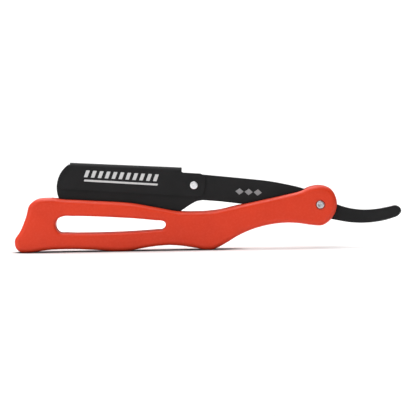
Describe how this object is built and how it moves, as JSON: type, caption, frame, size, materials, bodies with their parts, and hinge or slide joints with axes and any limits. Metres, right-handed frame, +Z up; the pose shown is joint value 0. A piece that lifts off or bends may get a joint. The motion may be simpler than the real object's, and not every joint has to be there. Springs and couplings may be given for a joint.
{
  "type": "straight razor",
  "caption": "Folding straight razor: open channel handle, swing-out arm with finger tail, and a clip that swings off the jaws to change a half blade.",
  "frame": {"origin": "middle of the stored razor's length and thickness, on the plane that the handle's lower edge stands on", "axes": "+X along the length from the heel to the finger tail, +Y through the thickness from the front to the rear, +Z up from the lower edge to the clip's spine"},
  "size_m": [0.1608, 0.0094, 0.0371],
  "materials": {
    "handle_plastic": "satin moulded orange-red plastic",
    "black_coat": "matte black coating on steel",
    "rivet_steel": "bright steel",
    "washer_steel": "plain steel",
    "blade_steel": "ground steel with a brighter honed edge"
  },
  "bodies": {
    "handle_body": {"handle": "handle_plastic", "pivot_rivet": "rivet_steel", "pivot_washer_front": "washer_steel", "pivot_washer_rear": "washer_steel"},
    "arm_body": {"arm": "black_coat", "rear_jaw": "black_coat", "blade": "blade_steel", "clip_rivet": "rivet_steel"},
    "clip_body": {"clip": "black_coat"}
  },
  "joints": [
    {"name": "arm_pivot", "type": "hinge", "parent": "handle_body", "child": "arm_body", "pos_m": [0.04679, 0, 0.018], "axis": [0, 1, 0], "range_deg": [-6.5, 263.5]},
    {"name": "clip_swing", "type": "hinge", "parent": "arm_body", "child": "clip_body", "pos_m": [-0.0056, 0, 0.02685], "axis": [0, 1, 0], "range_deg": [0, 95]}
  ]
}
